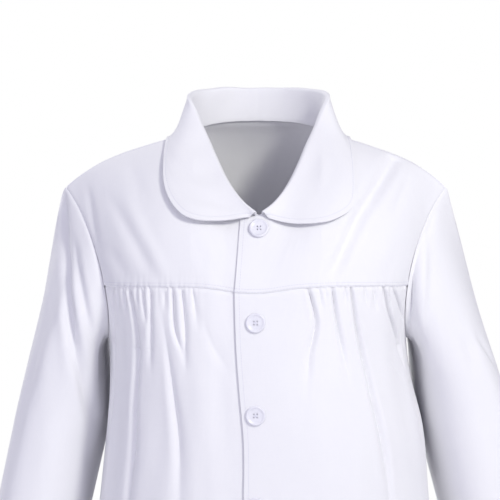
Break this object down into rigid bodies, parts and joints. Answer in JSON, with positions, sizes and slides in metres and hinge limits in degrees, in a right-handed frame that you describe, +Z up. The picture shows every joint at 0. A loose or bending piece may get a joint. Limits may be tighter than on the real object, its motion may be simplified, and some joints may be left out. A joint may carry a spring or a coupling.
{
  "type": "nurse uniform dress",
  "caption": "Long-sleeved buttoned nurse dress with a round turned-down collar, front yokes and gathered fronts, in worn hollow form.",
  "frame": {"origin": "middle of the neck opening, level with the side neck points, where the wearer's shoulders hold the dress up", "axes": "+Z up along the wearer; -Y is the front of the dress; +X is the wearer's left, on the right in the picture"},
  "size_m": [0.6142, 0.3483, 1.025],
  "materials": {
    "cotton": "plain woven white polyester and cotton",
    "button": "white, lightly polished"
  },
  "bodies": {
    "root": {"back": "cotton", "yoke_left": "cotton", "yoke_right": "cotton", "front_left": "cotton", "front_right": "cotton", "sleeve_left": "cotton", "sleeve_right": "cotton", "collar": "cotton", "button_1": "button", "button_2": "button", "button_3": "button", "button_4": "button", "button_5": "button", "button_6": "button", "button_7": "button", "button_8": "button"}
  },
  "joints": []
}
